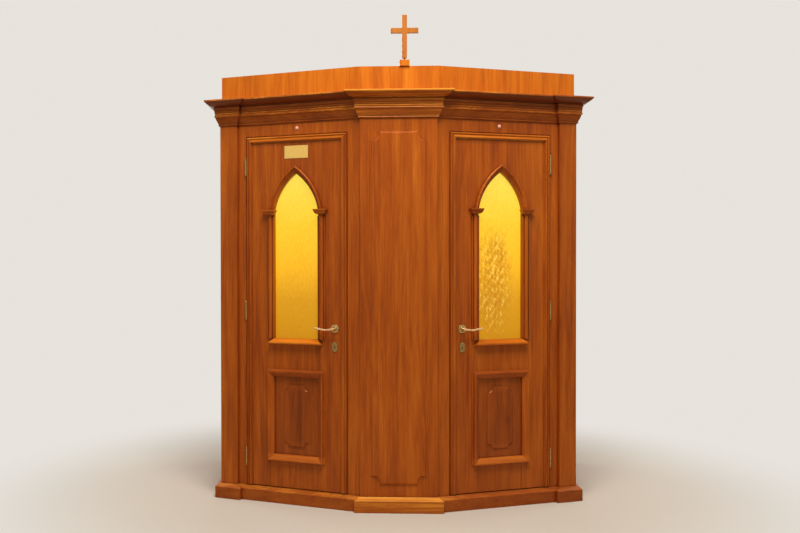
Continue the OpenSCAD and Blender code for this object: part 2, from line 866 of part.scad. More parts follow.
// Half-round shaft on a strip with a raised edge each side
module window_columns() color(wood) {
    foot = sill_z + joint_gap;
    r = shaft_d / 2;
    edge = 6;
    for (s = [-1, 1])
        translate([leaf_mid + s * (window_half + column_w / 2), 0, foot])
            linear_extrude(spring_z - capital_h - foot - joint_gap) {
                translate([-column_w / 2, -3]) square([column_w, 3]);
                for (e = [-column_w / 2, column_w / 2 - edge])
                    translate([e, -8]) square([edge, 8]);
                intersection() {
                    translate([0, r - shaft_out]) circle(r);
                    translate([-r, -big / 8]) square([2 * r, big / 8]);
                }
            }
}

module window_sill() color(wood_light) {
    h = window_half;
    path = [[leaf_mid - h, spring_z], [leaf_mid - h, sill_z],
        [leaf_mid + h, sill_z], [leaf_mid + h, spring_z]];
    on_face() run(path, 1, splayed(sill_w, sill_out));
}

// Capital: a thin slab on a round bowl and a neck, alike in front and side view
module capitals() color(wood) {
    inner = window_half - 18;
    outer = window_half + column_w + 16;
    top = spring_z;
    foot = top - capital_h;
    slab_h = 9;
    bowl = 22;
    neck = top - slab_h - bowl;
    for (s = [-1, 1])
        translate([leaf_mid + s * (inner + outer) / 2, 0, 0]) intersection() {
            translate([-big / 8, 0, 0]) rotate([90, 0, 90])
                linear_extrude(big / 4)
                    polygon(concat([[0, foot], [bowl + 3 - capital_out, foot],
                            [bowl + 3 - capital_out, neck]],
                        [for (q = arc([bowl + 3 - capital_out, neck + bowl],
                            bowl, -90, -180, 5)) q],
                        [[-capital_out, top - slab_h + 1],
                            [-capital_out, top], [0, top]]));
            on_face() linear_extrude(big / 8)
                let (w = (outer - inner) / 2)
                polygon(concat([[bowl + 3 - w, foot], [w - bowl - 3, foot],
                        [w - bowl - 3, neck]],
                    arc([w - bowl - 3, neck + bowl], bowl, -90, 0, 5),
                    [[w, top - slab_h + 1], [w, top], [-w, top],
                        [-w, top - slab_h + 1]],
                    arc([bowl + 3 - w, neck + bowl], bowl, 180, 270, 5),
                    [[bowl + 3 - w, neck]]));
        }
}

module edge_moulding() color(wood_light) {
    inset = 4;
    path = [[leaf_u0 + inset, leaf_z0], [leaf_u0 + inset, leaf_z1 - inset],
        [leaf_u1 - inset, leaf_z1 - inset], [leaf_u1 - inset, leaf_z0]];
    bead = 4.5;
    nose = 5;
    profile = concat([[0, 0], [0, edge_out - 9]],
        arc([bead, edge_out - 9], bead, 180, 40, 4),
        [[9.5, edge_out - 9], [13, edge_out - 9.5]],
        arc([edge_w - 10, edge_out - nose], nose, 155, 0, 5),
        [[edge_w - 5, 5], [edge_w - 3, 3], [edge_w, 3], [edge_w, 0]]);
    difference() {
        for (i = [0:2]) on_face() run(path, i, profile);
        for (z = hinge_zs)
            translate([hinge_u, hinge_n, z - hinge_h / 2 - finial_h - 1])
                cylinder(h = hinge_h + 2 * finial_h + 2, r = knuckle_r + 1);
    }
}

module name_plate() color(brass)
    slab([leaf_mid - 4 - plate_w / 2, -2, leaf_z1 - 98 - plate_h / 2],
        [leaf_mid - 4 + plate_w / 2, 0, leaf_z1 - 98 + plate_h / 2]);

// ---------------------------------------------------------------- lock

module lock_case() color(steel) difference() {
    union() {
        slab([leaf_u0, case_n, case_z0],
            [leaf_u0 + case_l, case_n + case_t, case_z1]);
        slab([leaf_u0, (leaf_t - forend_w) / 2, case_z0 - forend_over],
            [leaf_u0 + forend_t, (leaf_t + forend_w) / 2,
                case_z1 + forend_over]);
    }
    slab([leaf_u0 + forend_t, case_n + case_wall, case_z0 + case_wall],
        [leaf_u0 + case_l - case_wall, case_n + case_t - case_wall,
            case_z1 - case_wall]);
    bolt_shape(lever_z, latch_h, fit);
    bolt_shape(dead_z, dead_h, fit);
    translate([spindle_u, 0, lever_z]) rotate([-90, 0, 0])
        cylinder(h = leaf_t, r = neck_r + 1);
    key_slot(0.5);
}

// Straight bolt, long enough for its head to cross the lock's edge
module bolt_shape(z, h, grow) {
    slab([leaf_u0 - 30, (leaf_t - bolt_t) / 2 - grow, z - h / 2 - grow],
        [leaf_u0 + 48 + grow, (leaf_t + bolt_t) / 2 + grow, z + h / 2 + grow]);
}

// The latch's nose is cut back on the side that meets the frame in closing
module latch_bolt() color(brass) difference() {
    intersection() {
        bolt_shape(lever_z, latch_h, 0);
        slab([leaf_u0 - latch_throw, 0, lever_z - latch_h],
            [leaf_u0 + 46, leaf_t, lever_z + latch_h]);
    }
    translate([leaf_u0 - latch_throw, leaf_t / 2 + bolt_t / 2, lever_z])
        rotate([0, 0, 45]) cube([12, 12, latch_h + 2], center = true);
}

module dead_bolt() color(brass) intersection() {
    bolt_shape(dead_z, dead_h, 0);
    slab([leaf_u0 + 0.5, 0, dead_z - dead_h],
        [leaf_u0 + 46 - dead_throw, leaf_t, dead_z + dead_h]);
}

module strike_body(grow) {
    slab([lock_jamb_w - strike_t, leaf_t / 2 - 13 - grow, key_z - 40 - grow],
        [lock_jamb_w + (grow > 0 ? 1 : 0), leaf_t / 2 + 13 + grow,
            lever_z + 40 + grow]);
}

module strike_holes(grow) {
    reach = max(latch_throw, dead_throw) + 3 - door_gap + 3;
    for (b = [[lever_z, latch_h], [dead_z, dead_h]])
        slab([lock_jamb_w - reach, (leaf_t - bolt_t) / 2 - 1.5 - grow,
                b[0] - b[1] / 2 - 1.5 - grow],
            [lock_jamb_w + 1, (leaf_t + bolt_t) / 2 + 1.5 + grow,
                b[0] + b[1] / 2 + 1.5 + grow]);
}

module strike_pocket() {
    strike_body(fit);
    strike_holes(0.5);
}

module strike_plates() color(brass)
    both_wings() difference() {
        strike_body(0);
        strike_holes(0);
    }

// Roses and key plates on both faces of the leaf
module roses() color(brass) {
    for (side = [0, 1])
        translate([spindle_u, side * leaf_t, lever_z])
            rotate([side == 0 ? 90 : -90, 0, 0]) difference() {
                rotate_extrude() polygon(concat([[0, 0], [rose_r, 0]],
                    arc([rose_r - 2, 2], 2, 0, 80, 3),
                    arc([rose_r - 9, -4], 10, 65, 85, 2),
                    [[neck_r + 4, rose_t - 1], [neck_r + 3, rose_t],
                        [0, rose_t]]));
                translate([0, 0, -1])
                    cylinder(h = rose_t + 2, r = neck_r + run_fit);
            }
    for (n = [-key_plate_t, leaf_t])
        difference() {
            translate([spindle_u, n, key_z]) rotate([-90, 0, 0])
                linear_extrude(key_plate_t) {
                    for (dz = [-12, 12]) translate([0, dz]) circle(17);
                    square([34, 24], center = true);
                }
            key_slot(0);
        }
}

// Turned length that starts at a and runs towards b
module turned_towards(a, b, profile) {
    d = b - a;
    translate(a) rotate([0, acos(d[2] / norm(d)), atan2(d[1], d[0])])
        rotate_extrude() polygon(profile);
}

// Lever handle: neck with a ball, and an arm that dips and rises to its end
module lever() {
    arm_n = 43;
    waist = [lever_l * 0.39, -arm_n - 2, -6];
    tip = [lever_l - 8, -arm_n - 2, 4];
    r = 7.5;
    rotate([90, 0, 0]) rotate_extrude() polygon(concat(
        [[0, 0], [neck_r, 0], [neck_r, 16], [r, 18], [r, arm_n - 5]],
        arc([0, arm_n], r + 1.5, -34, 90, 6)));
    turned_towards([0, -arm_n, 0], waist + [2, 0, 0.2],
        [[0, 0], [r - 0.1, 0], [6.2, 20], [5.4, waist[0] + 5], [0, waist[0] + 5]]);
    turned_towards(waist, tip, concat([[0, -3], [3, -3], [6, 0], [6.2, 30]],
        arc([0, norm(tip - waist) - 1], r + 0.1, 0, 90, 5)));
}

module levers() color(brass)
    translate([spindle_u, 0, lever_z]) {
        lever();
        translate([0, leaf_t, 0]) mirror([0, 1, 0]) lever();
        translate([-spindle_a / 2, 0.1, -spindle_a / 2])
            cube([spindle_a, leaf_t - 0.2, spindle_a]);
    }

// ---------------------------------------------------------------- nodes

floor_deck();
floor_bearers();
plinth_boards();
door_jambs();
head_rails();
corner_posts();
centre_panel();
side_walls();
back_wall();
roof_deck();
cornice();
parapet_boards();
partition_boards();
screen_frame();
screen_grille();
cross();
cross_base();
signal_lamps();
ceiling_lamps();
seat();
seat_cushion();
kneeler();
kneeler_pad();
strike_plates();
hinge_posts();
wing(-1) stiles();  // left_stiles
wing(-1) rails();  // left_rails
wing(-1) lower_panel();  // left_lower_panel
wing(-1) panel_moulding();  // left_panel_moulding
wing(-1) glass();  // left_glass
wing(-1) glass_bead();  // left_glass_bead
wing(-1) hood_mould();  // left_hood_mould
wing(-1) window_columns();  // left_window_columns
wing(-1) capitals();  // left_capitals
wing(-1) window_sill();  // left_window_sill
wing(-1) edge_moulding();  // left_edge_moulding
wing(-1) lock_case();  // left_lock_case
wing(-1) roses();  // left_roses
wing(-1) hinge_leaves();  // left_hinge_leaves
wing(-1) levers();  // left_levers
wing(-1) latch_bolt();  // left_latch_bolt
wing(-1) dead_bolt();  // left_dead_bolt
wing(-1) name_plate();  // left_name_plate
wing(1) stiles();  // right_stiles
wing(1) rails();  // right_rails
wing(1) lower_panel();  // right_lower_panel
wing(1) panel_moulding();  // right_panel_moulding
wing(1) glass();  // right_glass
wing(1) glass_bead();  // right_glass_bead
wing(1) hood_mould();  // right_hood_mould
wing(1) window_columns();  // right_window_columns
wing(1) capitals();  // right_capitals
wing(1) window_sill();  // right_window_sill
wing(1) edge_moulding();  // right_edge_moulding
wing(1) lock_case();  // right_lock_case
wing(1) roses();  // right_roses
wing(1) hinge_leaves();  // right_hinge_leaves
wing(1) levers();  // right_levers
wing(1) latch_bolt();  // right_latch_bolt
wing(1) dead_bolt();  // right_dead_bolt
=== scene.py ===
"""Looks of the two-door confessional booth: varnished wood, brass fittings, lit amber glass,
upholstery and studio."""
import json
import math

import bmesh
import bpy
import numpy as np
from mathutils import Matrix, Vector
from mathutils.bvhtree import BVHTree

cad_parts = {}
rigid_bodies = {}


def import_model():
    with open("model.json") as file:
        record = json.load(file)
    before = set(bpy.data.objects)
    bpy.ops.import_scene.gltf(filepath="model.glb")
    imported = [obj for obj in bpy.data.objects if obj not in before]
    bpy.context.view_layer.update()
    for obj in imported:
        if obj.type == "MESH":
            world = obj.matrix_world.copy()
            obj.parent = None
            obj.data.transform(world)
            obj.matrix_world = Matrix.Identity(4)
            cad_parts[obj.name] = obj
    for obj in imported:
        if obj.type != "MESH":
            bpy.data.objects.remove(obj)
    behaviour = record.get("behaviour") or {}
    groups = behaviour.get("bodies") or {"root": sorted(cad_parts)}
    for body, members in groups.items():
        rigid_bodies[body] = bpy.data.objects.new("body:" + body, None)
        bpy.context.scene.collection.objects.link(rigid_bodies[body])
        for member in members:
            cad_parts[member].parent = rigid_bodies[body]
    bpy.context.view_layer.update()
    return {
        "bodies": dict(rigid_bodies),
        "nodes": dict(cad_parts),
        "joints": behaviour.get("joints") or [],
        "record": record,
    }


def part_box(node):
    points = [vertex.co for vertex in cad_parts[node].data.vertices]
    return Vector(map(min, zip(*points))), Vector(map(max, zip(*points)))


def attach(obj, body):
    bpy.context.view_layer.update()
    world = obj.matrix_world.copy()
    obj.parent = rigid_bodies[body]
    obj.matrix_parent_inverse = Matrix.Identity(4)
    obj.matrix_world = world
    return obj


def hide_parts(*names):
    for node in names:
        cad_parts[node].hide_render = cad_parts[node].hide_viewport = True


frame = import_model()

nodes = frame["nodes"]
WING = math.radians(20.0)      # how far each wing turns back
WING_X = 0.220                 # where a wing's face starts
WING_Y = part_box("floor_deck")[0].y + 0.017
ALONG = WING_X * math.cos(WING) + WING_Y * math.sin(WING)
MIDDLE = 0.3995                # middle of a leaf, measured along the wing
LIP_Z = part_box("cornice")[1].z
PLINTH_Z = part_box("plinth_boards")[1].z
FACE_Y = WING_Y - 0.017        # face of the centre panel
SIDES = (("left_", -1), ("right_", 1))
# mitred frames of a door: centre, height, half width and half height of a line round each;
# the edge moulding has no lower member, so its line ends far below the floor
PANEL_FRAME = (MIDDLE, 0.515, 0.141, 0.230)
EDGE_FRAME = (MIDDLE, -2.0, 0.3185, 4.159)


def in_wing(side, points):
    """Points [along the wing, into the booth, up] as places in the booth; side is -1 or 1."""
    u, n, z = np.moveaxis(np.asarray(points, float), -1, 0)
    return np.stack((side * (WING_X + u * math.cos(WING) - n * math.sin(WING)),
                     WING_Y + u * math.sin(WING) + n * math.cos(WING), z), -1)


# ---------------------------------------------------------------- shader maths

class Sock:
    """A socket of a node tree; sums and products of Socks and numbers add Math nodes."""

    def __init__(self, shade, socket):
        self.shade, self.socket = shade, socket

    def _math(self, operation, *values):
        """A Math node of these values."""
        return self.shade.node("ShaderNodeMath", {"operation": operation}, *values)

    def __add__(self, other): return self._math("ADD", self, other)
    def __radd__(self, other): return self._math("ADD", other, self)
    def __sub__(self, other): return self._math("SUBTRACT", self, other)
    def __rsub__(self, other): return self._math("SUBTRACT", other, self)
    def __mul__(self, other): return self._math("MULTIPLY", self, other)
    def __pow__(self, other): return self._math("POWER", self, other)

    def sin(self): return self._math("SINE", self)
    def abs(self): return self._math("ABSOLUTE", self)

    def step(self, low, high, ease="SMOOTHSTEP"):
        """Eased map of low..high onto 0..1."""
        return self.shade.node("ShaderNodeMapRange", {"interpolation_type": ease},
                               Value=self, **{"From Min": low, "From Max": high})

    def xyz(self):
        """The three parts of a vector."""
        parts = self.shade.add("ShaderNodeSeparateXYZ", {}, Vector=self)
        return [Sock(self.shade, s) for s in parts.outputs]


class Shade:
    """A material's node tree with one Principled shader."""

    def __init__(self, name):
        self.material = bpy.data.materials.new(name)
        self.material.use_nodes = True
        self.tree = self.material.node_tree
        self.tree.nodes.clear()
        self.surface = self.tree.nodes.new("ShaderNodeBsdfPrincipled")
        self.end = self.tree.nodes.new("ShaderNodeOutputMaterial").inputs["Surface"]
        self.tree.links.new(self.surface.outputs[0], self.end)

    def add(self, kind, settings, *values, **named):
        """Adds a node: its settings first, then the values or links of its sockets."""
        node = self.tree.nodes.new(kind)
        for key, value in settings.items():
            if key == "stops":
                ramp = node.color_ramp
                while len(ramp.elements) < len(value):
                    ramp.elements.new(0.5)
                for element, (at, colour) in zip(ramp.elements, value):
                    element.position, element.color = at, (*colour, 1.0)
            else:
                setattr(node, key, value)
        for socket, value in list(zip(node.inputs, values)) + [
                (node.inputs[key], value) for key, value in named.items()]:
            self.feed(socket, value)
        return node

    def feed(self, socket, value):
        """Links a Sock to the socket, or writes a plain value in it."""
        if isinstance(value, Sock):
            self.tree.links.new(value.socket, socket)
        elif isinstance(value, (tuple, list)) and len(value) == 3 and socket.type == "RGBA":
            socket.default_value = (*value, 1.0)
        else:
            socket.default_value = value

    def node(self, kind, settings, *values, **named):
        """Adds a node and gives its first usable output."""
        made = self.add(kind, settings, *values, **named)
        return Sock(self, next(s for s in made.outputs if s.enabled))

    def mix(self, factor, a, b):
        """Colour between a and b."""
        node = self.add("ShaderNodeMix", {"data_type": "RGBA"})
        for socket, value in zip((node.inputs[0], node.inputs[6], node.inputs[7]), (factor, a, b)):
            self.feed(socket, value)
        return Sock(self, node.outputs[2])

    def noise(self, at, scale, detail=2.0, distortion=0.0, roughness=0.5):
        """Noise from 0 to 1 at these coordinates."""
        return self.node("ShaderNodeTexNoise", {}, Vector=at, Scale=scale, Detail=detail,
                         Distortion=distortion, Roughness=roughness)

    def at(self, move=(0, 0, 0), turn=(0, 0, 0), scale=(1, 1, 1)):
        """Object coordinates, moved, turned and scaled."""
        coords = self.node("ShaderNodeTexCoord", {"object": None})
        coords.socket = coords.socket.node.outputs["Object"]
        return self.node("ShaderNodeMapping", {}, Vector=coords, Location=move,
                         Rotation=turn, Scale=scale)

    def hollow(self, reach):
        """1 deep in a corner or groove, 0 where nothing stands within reach."""
        free = self.node("ShaderNodeAmbientOcclusion", {"samples": 4}, Distance=reach)
        free.socket = free.socket.node.outputs["AO"]
        return free.step(0.85, 0.25)

    def set(self, **values):
        """Sets or links sockets of the Principled shader; underscores stand for spaces."""
        for key, value in values.items():
            self.feed(self.surface.inputs[key.replace("_", " ")], value)
        return self.material

    def bump(self, height, distance, strength=1.0, normal=None):
        """Normal of a fine relief, on top of another normal if one is given."""
        given = {} if normal is None else {"Normal": normal}
        return self.node("ShaderNodeBump", {}, Height=height, Distance=distance,
                         Strength=strength, **given)


# ---------------------------------------------------------------- materials

PAINTED_SHADE = (0.085, 0.014, 0.004)      # painted shade in the hollows
JOINT = (0.050, 0.009, 0.003)       # dirt and shadow in the joints
HONEY = (0.82, 0.30, 0.03)          # the palest streaks
EDGE = 0.0003                       # blur of a line where the wood changes


def mitre(x, z, frame):
    """How far a point lies beyond the corner lines of a mitred frame: above 0 in its upright
    members and below 0 in its level ones. x is measured along the wing."""
    centre, height, half_w, half_h = frame
    return ((x.abs() - ALONG - centre).abs() - half_w) - ((z - height).abs() - half_h)


def band(z, height, half, blur=0.0005):
    """1 within a half width of a height, else 0."""
    return (z - height).abs().step(half + blur, half - blur)


def wood(name, side, grain, dark, mid, light, seed, tone_and_painted_light):
    """Varnished hardwood. side turns the pattern with a wing (-1, 0 or 1). grain is "z" for
    upright boards, "u" for level ones, "y" for boards that run front to back, or a mitred
    frame, whose members each run their own way. Tone = broad bands + narrow ribbons + fine
    streaks + mottle - growth lines (sine of a stretched noise) - pores + a function of x along
    the wing, y and z, which for most kinds of wood paints light and shade into the tone. The
    tones are dark, mid and light. Painted shade darkens the colour in the hollows, and painted
    shadow with dirt darkens it most in the joints; the edges are eased."""
    shade = Shade(name)

    def place():
        """x along the wing, y across it and z."""
        return shade.at(turn=(0.0, 0.0, -side * WING)).xyz()

    across = shade.at(turn=(0.0, 0.0, -side * WING), move=(seed, seed * 0.7, seed * 1.3))
    level = shade.node("ShaderNodeMapping", {}, Vector=across, Rotation=(0, math.pi / 2, 0))
    if grain == "u":
        across = level
    elif grain == "y":
        across = shade.node("ShaderNodeMapping", {}, Vector=across, Rotation=(math.pi / 2, 0, 0))
    elif grain != "z":
        x, _, z = place()
        across = shade.mix(mitre(x, z, grain).step(-EDGE, EDGE), level, across)

    def stretched(crosswise, along):
        """The board's coordinates with these numbers of cells to a metre."""
        return shade.node("ShaderNodeMapping", {}, Vector=across,
                          Scale=(crosswise, crosswise, along))

    broad = shade.noise(stretched(6.0, 0.6), 1.0, 2.0)
    ribbon = shade.noise(stretched(34.0, 1.3), 1.0, 3.0, 0.2)
    streak = shade.noise(stretched(150.0, 3.5), 1.0, 4.0, 0.0, 0.6)
    fine = shade.noise(stretched(520.0, 11.0), 1.0, 3.0, 0.0, 0.65)
    rings = shade.noise(stretched(7.0, 0.35), 1.0, 2.0)
    lines = (rings * 95.0).sin().step(0.1, 1.0)
    pores = shade.noise(stretched(1500.0, 42.0), 1.0, 1.0).step(0.60, 0.72)
    mottle = shade.noise(stretched(20.0, 2.6), 1.0, 2.0)
    tone = ((broad - 0.5) * 0.36 + (ribbon - 0.5) * 0.28 + (streak - 0.5) * 0.34
            + (fine - 0.5) * 0.34 + (mottle - 0.5) * 0.30 + 0.57 - lines * 0.05 - pores * 0.09)
    # painted light and shade, and for lower panels a darker middle, added to the tone
    if tone_and_painted_light:
        tone = tone + tone_and_painted_light(*place())
    colour = shade.node("ShaderNodeValToRGB", {"stops": [
        (0.36, dark), (0.55, mid), (0.76, light), (1.0, HONEY)]}, tone)
    # painted shade darkens the colour towards the hollows; painted shadow with dirt darkens the
    # joints
    colour = shade.mix(shade.hollow(0.022) * 0.62, colour, PAINTED_SHADE)
    colour = shade.mix(shade.hollow(0.006) * 0.60, colour, JOINT)
    rough = 0.27 + streak * 0.08 + pores * 0.12
    height = fine * 0.25 - pores * 0.8 - lines * 0.15
    eased = shade.node("ShaderNodeBevel", {"samples": 4}, Radius=0.0016)
    return shade.set(Base_Color=colour, Roughness=rough, Specular_IOR_Level=0.55,
                     Specular_Tint=(1.0, 0.56, 0.22),
                     Normal=shade.bump(height, 0.0002, 0.6, eased))


TARNISH = (0.10, 0.05, 0.015)


def brass(name, base, dull, rough):
    """Lacquered brass: dulled in cloudy patches and in its hollows, with fine rubbing marks."""
    shade = Shade(name)
    at = shade.at()
    patch = shade.noise(at, 60.0, 4.0).step(0.42, 0.70)
    marks = shade.noise(shade.at(scale=(900, 900, 160)), 1.0, 2.0)
    colour = shade.mix(patch * 0.6, base, dull)
    colour = shade.mix(shade.hollow(0.010) * 0.75, colour, TARNISH)
    return shade.set(Base_Color=colour, Metallic=1.0,
                     Roughness=rough + patch * 0.16 + marks * 0.08,
                     Normal=shade.bump(marks, 0.00004))


def steel(name):
    """Brushed steel of the lock case."""
    shade = Shade(name)
    marks = shade.noise(shade.at(scale=(60, 60, 1400)), 1.0, 2.0)
    return shade.set(Base_Color=shade.mix(marks, (0.36, 0.36, 0.35), (0.62, 0.61, 0.59)),
                     Metallic=1.0, Roughness=0.34 + marks * 0.14)


def painted_glow_glass(name, side, dim):
    """Rolled amber glass of a wing's window, with a painted glow as if a lamp above and behind it
    lit it: brightest near the top, and lighter or darker where the relief (an attribute of the
    pane) gathers or spreads it, as painted highlights and painted shade. dim is how far the
    painted glow fades, as painted shade, in an oval below and beside the middle, where the
    relief shows most: height and width from its centre, squared and summed."""
    shade = Shade(name)
    oval_u, oval_z = ALONG + MIDDLE - 0.035, 1.30
    sill, crown = 0.95, 1.95
    shadow, gleam = (0.44, 0.15, 0.006), (1.0, 0.74, 0.16)
    x, _, height = shade.at(turn=(0.0, 0.0, -side * WING)).xyz()
    # painted glow, brighter towards the top of the pane
    glow = shade.node("ShaderNodeValToRGB", {"stops": [
        (0.0, (0.48, 0.20, 0.004)), (0.25, (0.62, 0.28, 0.006)), (0.45, (0.96, 0.49, 0.012)),
        (0.68, (1.0, 0.61, 0.026)), (1.0, (1.0, 0.80, 0.10))]},
        height.step(sill, crown, ease="LINEAR"))
    relief = shade.node("ShaderNodeAttribute", {"attribute_name": "relief"})
    relief.socket = relief.socket.node.outputs["Fac"]
    cloud = shade.noise(shade.at(scale=(1, 1, 0.6)), 11.0, 2.0)
    u, v = x.abs() - oval_u, height - oval_z
    # painted shade fading out from an oval below and beside the middle, and painted highlights
    # where the relief is low
    faded = (u * u * 55.0 + v * v * 7.0 + cloud * 0.9).step(1.5, 0.45) * dim
    tone = shade.mix(relief.step(0.30, 0.75) * (faded + 0.11) + faded * 0.45, glow, shadow)
    tone = shade.mix(relief.step(0.45, 0.15) * faded * 1.2, tone, gleam)
    speck = shade.noise(shade.at(), 300.0, 2.0)
    return shade.set(Base_Color=shade.mix(speck, (0.22, 0.11, 0.006), (0.30, 0.16, 0.010)),
                     Emission_Color=tone, Emission_Strength=0.88, Roughness=0.12,
                     Specular_IOR_Level=0.35, Specular_Tint=(1.0, 0.8, 0.5),
                     Normal=shade.bump(speck, 0.0001))


def opal(name, glow, strength, dark, light):
    """Opal glass of a lamp, faintly cloudy, with its own glow."""
    shade = Shade(name)
    speck = shade.noise(shade.at(), 400.0, 2.0)
    return shade.set(Base_Color=shade.mix(speck, dark, light),
                     Emission_Color=glow, Emission_Strength=strength,
                     Roughness=0.22 + speck * 0.08)


def velvet(name, base, tip):
    """Cut velvet: a fine pile with brushed patches and a sheen."""
    shade = Shade(name)
    pile = shade.noise(shade.at(), 1500.0, 2.0)
    brushed = shade.noise(shade.at(), 9.0, 3.0, 0.6).step(0.35, 0.65)
    return shade.set(Base_Color=shade.mix(pile * 0.6 + brushed * 0.35, base, tip),
                     Roughness=0.85 - brushed * 0.1, Specular_IOR_Level=0.12,
                     Sheen_Weight=0.12, Sheen_Roughness=0.35, Sheen_Tint=(1.0, 0.22, 0.10),
                     Normal=shade.bump(pile, 0.0008))


# tones of the varnished wood: dark streaks, body, light streaks
BODY = ((0.205, 0.032, 0.005), (0.370, 0.070, 0.006), (0.520, 0.130, 0.010))
DEEP = ((0.150, 0.025, 0.005), (0.270, 0.048, 0.006), (0.390, 0.085, 0.009))
WARM = ((0.420, 0.085, 0.006), (0.620, 0.150, 0.008), (0.760, 0.230, 0.014))
INNER = ((0.230, 0.058, 0.011), (0.430, 0.130, 0.020), (0.570, 0.210, 0.034))


def front_painted_light(x, y, z):
    """Tone of the cornice and the plinth, most of it painted light and shade. Painted light over
    and under the centre panel, as far as the mitres, where distance in front of the face
    exceeds distance beside it; painted highlights on the cornice's lip, its torus and the
    arris above that, and on the plinth's bevel; painted shade in the wings' crown under the
    lip and in the centre's lowest bead."""
    centre = ((FACE_Y - y) + WING_X - x.abs()).step(-EDGE, EDGE)
    wings = 1 - centre
    lip = band(z, LIP_Z - 0.006, 0.0053, EDGE)
    crown = band(z, LIP_Z - 0.024, 0.0145) * wings
    arris = band(z, LIP_Z - 0.0785, 0.0035)
    torus = band(z, LIP_Z - 0.0935, 0.0060, 0.0004) * wings
    low_bead = band(z, LIP_Z - 0.145, 0.0075) * centre
    bevel = band(z, PLINTH_Z, 0.0175)
    return (centre * 0.15 + lip * (0.18 + centre * 0.12) - crown * 0.32 + bevel * 0.14 + 0.05
            - low_bead * 0.10 + torus * 0.20 + arris * 0.20)


def lower_member_painted_light(x, y, z):
    """Painted light: the up-facing lower member of the moulding round a lower panel is lighter."""
    member_z = 0.266
    return band(z, member_z, 0.0210) * 0.12


def panel_field(x, y, z):
    """Darker wood towards the middle of a door's lower panel."""
    beside = (x.abs() - ALONG - MIDDLE).abs().step(0.080, 0.056)
    return beside * (z - PANEL_FRAME[1]).abs().step(0.170, 0.135) * -0.08 + 0.02


def top_member_painted_light(x, y, z):
    """Painted light: the level top member of a door's edge moulding, up to its mitres, is lighter,
    as if lit from above.
    """
    return mitre(x, z, EDGE_FRAME).step(EDGE, -EDGE) * 0.22


# each kind of wood: its tones and its own function of place, which for front, framed and edge wood
# paints light and shade
KINDS = {
    "body": (BODY, None), "warm": (WARM, None), "inner": (INNER, None),
    "front": (DEEP, front_painted_light), "framed": (BODY, lower_member_painted_light),
    "field": (DEEP, panel_field), "edge": (BODY, top_member_painted_light),
}
made = {}                      # woods by kind, wing, grain and seed


def finish(kind, side, grain, seed=0.0):
    """The wood of that kind, wing and grain, made once."""
    key = (kind, side, grain, seed)
    if key not in made:
        tones, tone_and_painted_light = KINDS[kind]
        way = grain if isinstance(grain, str) else "mitred%d" % round(grain[3] * 1000)
        name = "wood_%s_%s_%s_%d" % (kind, {-1: "left", 0: "middle", 1: "right"}[side], way,
                                     round(seed * 10))
        made[key] = wood(name, side, grain, *tones, seed, tone_and_painted_light)
    return made[key]


def dress(node, material):
    """Makes the material the node's only one."""
    slots = nodes[node].data.materials
    slots.clear()
    slots.append(material)


polished = brass("brass_polished", (0.97, 0.68, 0.36), (0.50, 0.30, 0.11), 0.10)
# the rose's near-black patches are partly tarnish and partly painted dark reflections of polished
# brass
rose_brass = brass("brass_rose", (0.56, 0.35, 0.12), (0.10, 0.05, 0.014), 0.15)
worn_brass = brass("brass_worn", (0.46, 0.28, 0.10), (0.24, 0.13, 0.045), 0.32)
plate_brass = brass("brass_plate", (0.94, 0.61, 0.17), (0.90, 0.57, 0.155), 0.36)
case_steel = steel("steel_brushed")
amber = {-1: painted_glow_glass("glass_amber_left", -1, 0.05),
         1: painted_glow_glass("glass_amber_right", 1, 0.55)}
ceiling_opal = opal("opal_ceiling", (1.0, 0.80, 0.52), 3.5, (0.86, 0.80, 0.74), (0.93, 0.89, 0.84))
signal_opal = opal("opal_signal", (1.0, 0.46, 0.34), 0.10, (0.74, 0.36, 0.28), (0.80, 0.45, 0.36))
pile = velvet("velvet_red", (0.15, 0.010, 0.008), (0.30, 0.026, 0.018))
cord = velvet("velvet_piping", (0.20, 0.014, 0.010), (0.38, 0.040, 0.026))

# kind, wing and grain of each wooden node of the booth
BOOTH = {
    "floor_deck": ("inner", 0, "y"), "floor_bearers": ("inner", 0, "y"),
    "plinth_boards": ("front", 0, "u"), "door_jambs": ("body", 1, "z"),
    "head_rails": ("body", 0, "z"), "corner_posts": ("body", 0, "z"),
    "centre_panel": ("body", 0, "z"), "side_walls": ("body", 0, "z"),
    "back_wall": ("inner", 0, "z"), "roof_deck": ("inner", 0, "y"),
    # the cornice's front tone paints light and shade; the parapet's warm tone is partly its own
    # lighter wood and partly painted light
    "cornice": ("front", 0, "u"), "parapet_boards": ("warm", 0, "z"),
    "partition_boards": ("inner", 0, "z"), "screen_frame": ("inner", 0, "z"),
    "screen_grille": ("inner", 0, "z"), "cross": ("inner", 0, "z"),
    "cross_base": ("warm", 0, "z"), "seat": ("inner", 0, "u"), "kneeler": ("inner", 0, "y"),
}
for node, (kind, side, grain) in BOOTH.items():
    dress(node, finish(kind, side, grain))
for node in ("strike_plates", "hinge_posts"):
    dress(node, worn_brass)
dress("signal_lamps", signal_opal)
dress("ceiling_lamps", ceiling_opal)
dress("seat_cushion", pile)
dress("kneeler_pad", pile)

